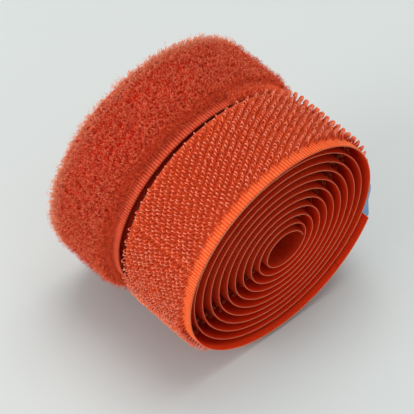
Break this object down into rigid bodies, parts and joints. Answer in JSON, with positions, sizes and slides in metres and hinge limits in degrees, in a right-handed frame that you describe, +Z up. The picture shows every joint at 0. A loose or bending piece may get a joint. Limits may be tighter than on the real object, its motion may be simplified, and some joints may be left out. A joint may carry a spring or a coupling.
{
  "type": "hook and loop tape roll",
  "caption": "Pair of coreless tape rolls, hook tape and loop tape, lying side by side on their rims, with a free tape end that lifts and a film seal that peels.",
  "frame": {"origin": "on the surface the rolls lie on, under the centre of the pair's box", "axes": "+Z up, Y along the shared roll axis with the hook roll at -Y and the loop roll at +Y, tape ends on the +X side"},
  "size_m": [0.0576, 0.043, 0.057],
  "materials": {
    "hook_nylon": "woven nylon tape, ribbed across, orange-red",
    "hook_filament": "nylon monofilament hooks, slightly translucent",
    "loop_nylon": "woven nylon tape, ribbed across, orange-red",
    "loop_pile": "brushed nylon loop pile, soft and matte",
    "seal_film": "thin light blue adhesive film"
  },
  "bodies": {
    "loop_roll": {"loop_web": "loop_nylon", "loop_pile": "loop_pile"},
    "loop_tail": {"loop_tail_web": "loop_nylon", "loop_tail_pile": "loop_pile"},
    "hook_roll": {"hook_web": "hook_nylon", "hook_field_1": "hook_filament", "hook_field_2": "hook_filament", "hook_field_3": "hook_filament"},
    "hook_tail": {"hook_tail_web": "hook_nylon", "hook_tail_hooks": "hook_filament"},
    "end_seal": {"end_seal": "seal_film"}
  },
  "joints": [
    {"name": "hook_roll_pull", "type": "slide", "parent": "loop_roll", "child": "hook_roll", "axis": [0, -1, 0], "range_m": [0, 0.03]},
    {"name": "hook_tail_lift", "type": "hinge", "parent": "hook_roll", "child": "hook_tail", "pos_m": [0.02022, -0.00934, 0.00912], "axis": [0, 1, 0], "range_deg": [0, 45], "stiffness_Nm_per_rad": 0.002},
    {"name": "seal_peel", "type": "hinge", "parent": "hook_tail", "child": "end_seal", "pos_m": [0.02446, -0.00934, 0.01054], "axis": [0, 1, 0], "range_deg": [0, 45]},
    {"name": "loop_tail_lift", "type": "hinge", "parent": "loop_roll", "child": "loop_tail", "pos_m": [0.01832, 0.01154, 0.00982], "axis": [0, 1, 0], "range_deg": [0, 45], "stiffness_Nm_per_rad": 0.002}
  ]
}
